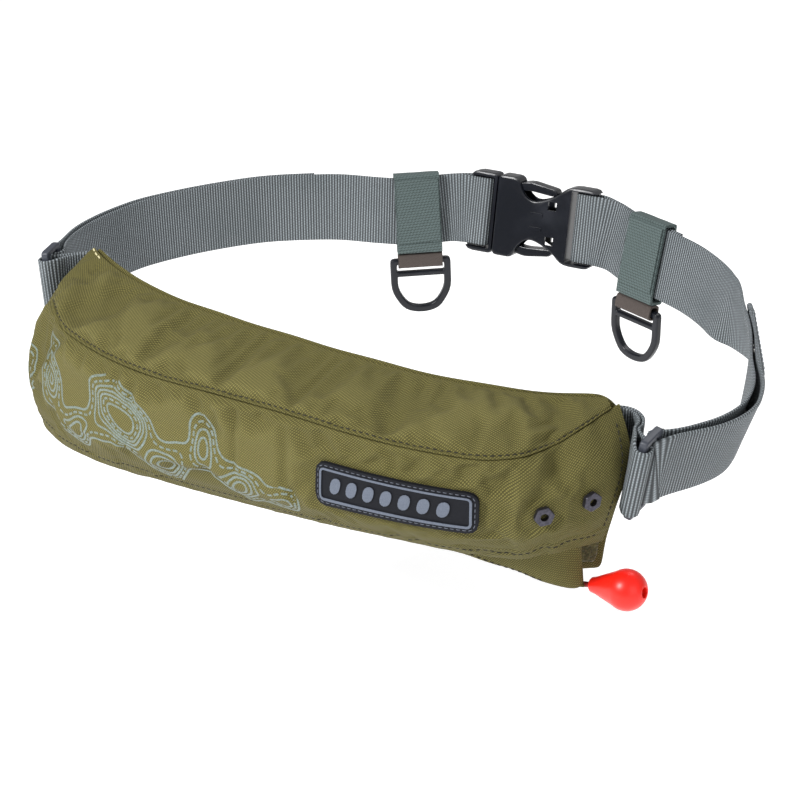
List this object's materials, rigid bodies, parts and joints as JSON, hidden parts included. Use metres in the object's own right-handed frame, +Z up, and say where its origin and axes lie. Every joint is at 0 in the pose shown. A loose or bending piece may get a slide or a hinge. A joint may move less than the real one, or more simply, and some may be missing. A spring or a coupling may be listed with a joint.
{
  "type": "inflatable belt pack",
  "caption": "Waist belt of ribbed webbing with a side-release buckle and a curved cloth pouch that holds a folded inflatable cell, with a pull knob at one end.",
  "frame": {"origin": "centre of the waist opening, at mid-height of the belt webbing", "axes": "+X across the wearer towards the pull knob's end, +Y from the pouch towards the buckle, +Z up"},
  "size_m": [0.3941, 0.3045, 0.096],
  "materials": {
    "pouch_cloth": "matte olive twill nylon",
    "closure_pile": "dark olive looped pile",
    "bladder_cloth": "coated nylon, matte",
    "badge_rubber": "matte moulded rubber",
    "fastener_metal": "satin gun-metal",
    "knob_plastic": "satin red",
    "pull_cord_fibre": "braided cord, matte",
    "belt_webbing": "ribbed blue-grey webbing",
    "slider_plastic": "satin dark grey-blue",
    "black_plastic": "satin near-black",
    "keeper_tape": "teal-grey hook-and-loop tape",
    "ring_tape": "brown-grey woven tape"
  },
  "bodies": {
    "belt_pack": {"back_panel": "pouch_cloth", "top_panel": "pouch_cloth", "front_panel": "pouch_cloth", "closure_flap": "pouch_cloth", "closure_tape_front": "closure_pile", "closure_tape_back": "closure_pile", "folded_bladder": "bladder_cloth", "badge": "badge_rubber", "hex_fastener_front": "fastener_metal", "hex_fastener_side": "fastener_metal", "pull_knob": "knob_plastic", "pull_cord": "pull_cord_fibre", "left_strap": "belt_webbing", "right_strap": "belt_webbing", "pack_strap": "belt_webbing", "left_slider": "slider_plastic", "right_slider": "slider_plastic", "buckle_female": "black_plastic", "buckle_male": "black_plastic", "left_keeper": "keeper_tape", "right_keeper": "keeper_tape", "left_ring_tab": "ring_tape", "right_ring_tab": "ring_tape"},
    "left_d_ring": {"left_d_ring": "black_plastic"},
    "right_d_ring": {"right_d_ring": "black_plastic"}
  },
  "joints": [
    {"name": "left_d_ring_swing", "type": "hinge", "parent": "belt_pack", "child": "left_d_ring", "pos_m": [-0.07176, 0.08964, -0.02774], "axis": [0.7849, 0.6183, 0.0407], "range_deg": [-75, 75]},
    {"name": "right_d_ring_swing", "type": "hinge", "parent": "belt_pack", "child": "right_d_ring", "pos_m": [0.05958, 0.10248, -0.02758], "axis": [0.9693, -0.2457, -0.0004], "range_deg": [-75, 75]}
  ]
}
